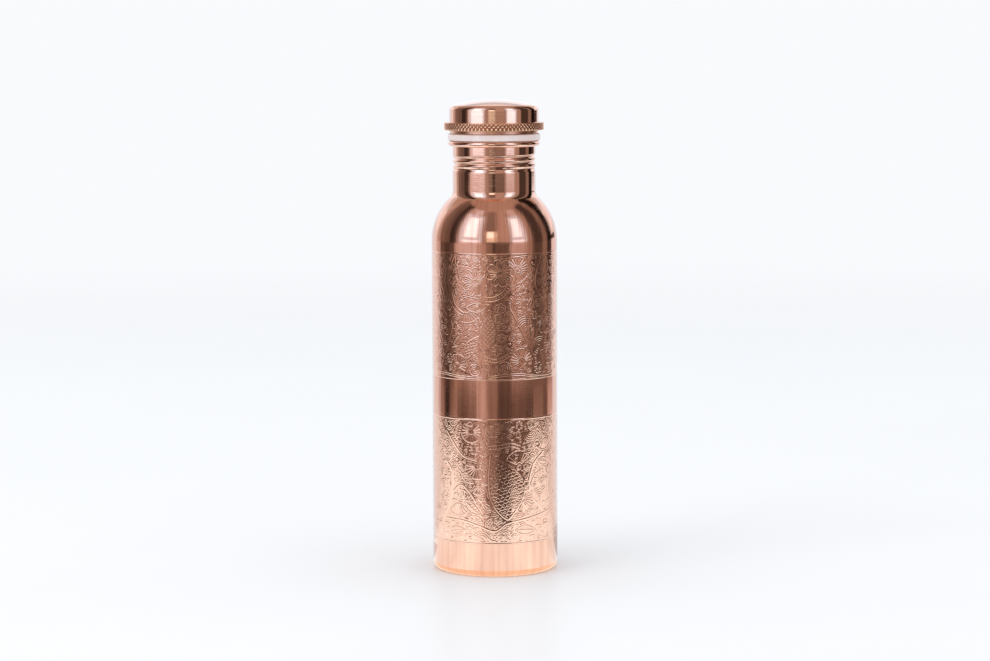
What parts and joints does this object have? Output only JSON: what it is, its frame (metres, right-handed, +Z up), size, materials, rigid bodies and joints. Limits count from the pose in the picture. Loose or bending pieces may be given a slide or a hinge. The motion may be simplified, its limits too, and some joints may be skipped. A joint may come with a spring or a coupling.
{
  "type": "copper water bottle",
  "caption": "Tall round copper drinking bottle with etched flower bands, a round shoulder, a rolled-thread neck, a pale seal and a domed screw lid with a knurled grip.",
  "frame": {"origin": "middle of the ring that the bottle stands on, at table height", "axes": "+Z up along the bottle's axis; the bottle is round, so X and Y only start the thread"},
  "size_m": [0.074, 0.074, 0.2778],
  "materials": {
    "brushed_copper": "satin, brushed round the body, with etched bands of flowers and leaves",
    "polished_copper": "mirror polished",
    "knurled_copper": "fine diamond knurl, slightly darkened",
    "plug_copper": "plain rolled sheet",
    "base_copper": "plain pressed sheet, slightly dull",
    "silicone": "soft, cloudy, pinkish white"
  },
  "bodies": {
    "bottle": {"body_shell": "brushed_copper", "base_disc": "base_copper", "neck_ring": "polished_copper"},
    "seal": {"seal_ring": "silicone"},
    "lid": {"thread_plug": "plug_copper", "grip_ring": "knurled_copper", "lid_cover": "polished_copper"}
  },
  "joints": [
    {"name": "lid_lift", "type": "slide", "parent": "bottle", "child": "seal", "axis": [0, 0, 1], "range_m": [0, 0.0215]},
    {"name": "lid_turn", "type": "hinge", "parent": "seal", "child": "lid", "pos_m": [0, 0, 0.2578], "axis": [0, 0, 1], "range_deg": [0, 2340]}
  ],
  "couplings": [
    {"joint": "lid_lift", "follows": "lid_turn", "m_per_rad": 0.00052521}
  ]
}
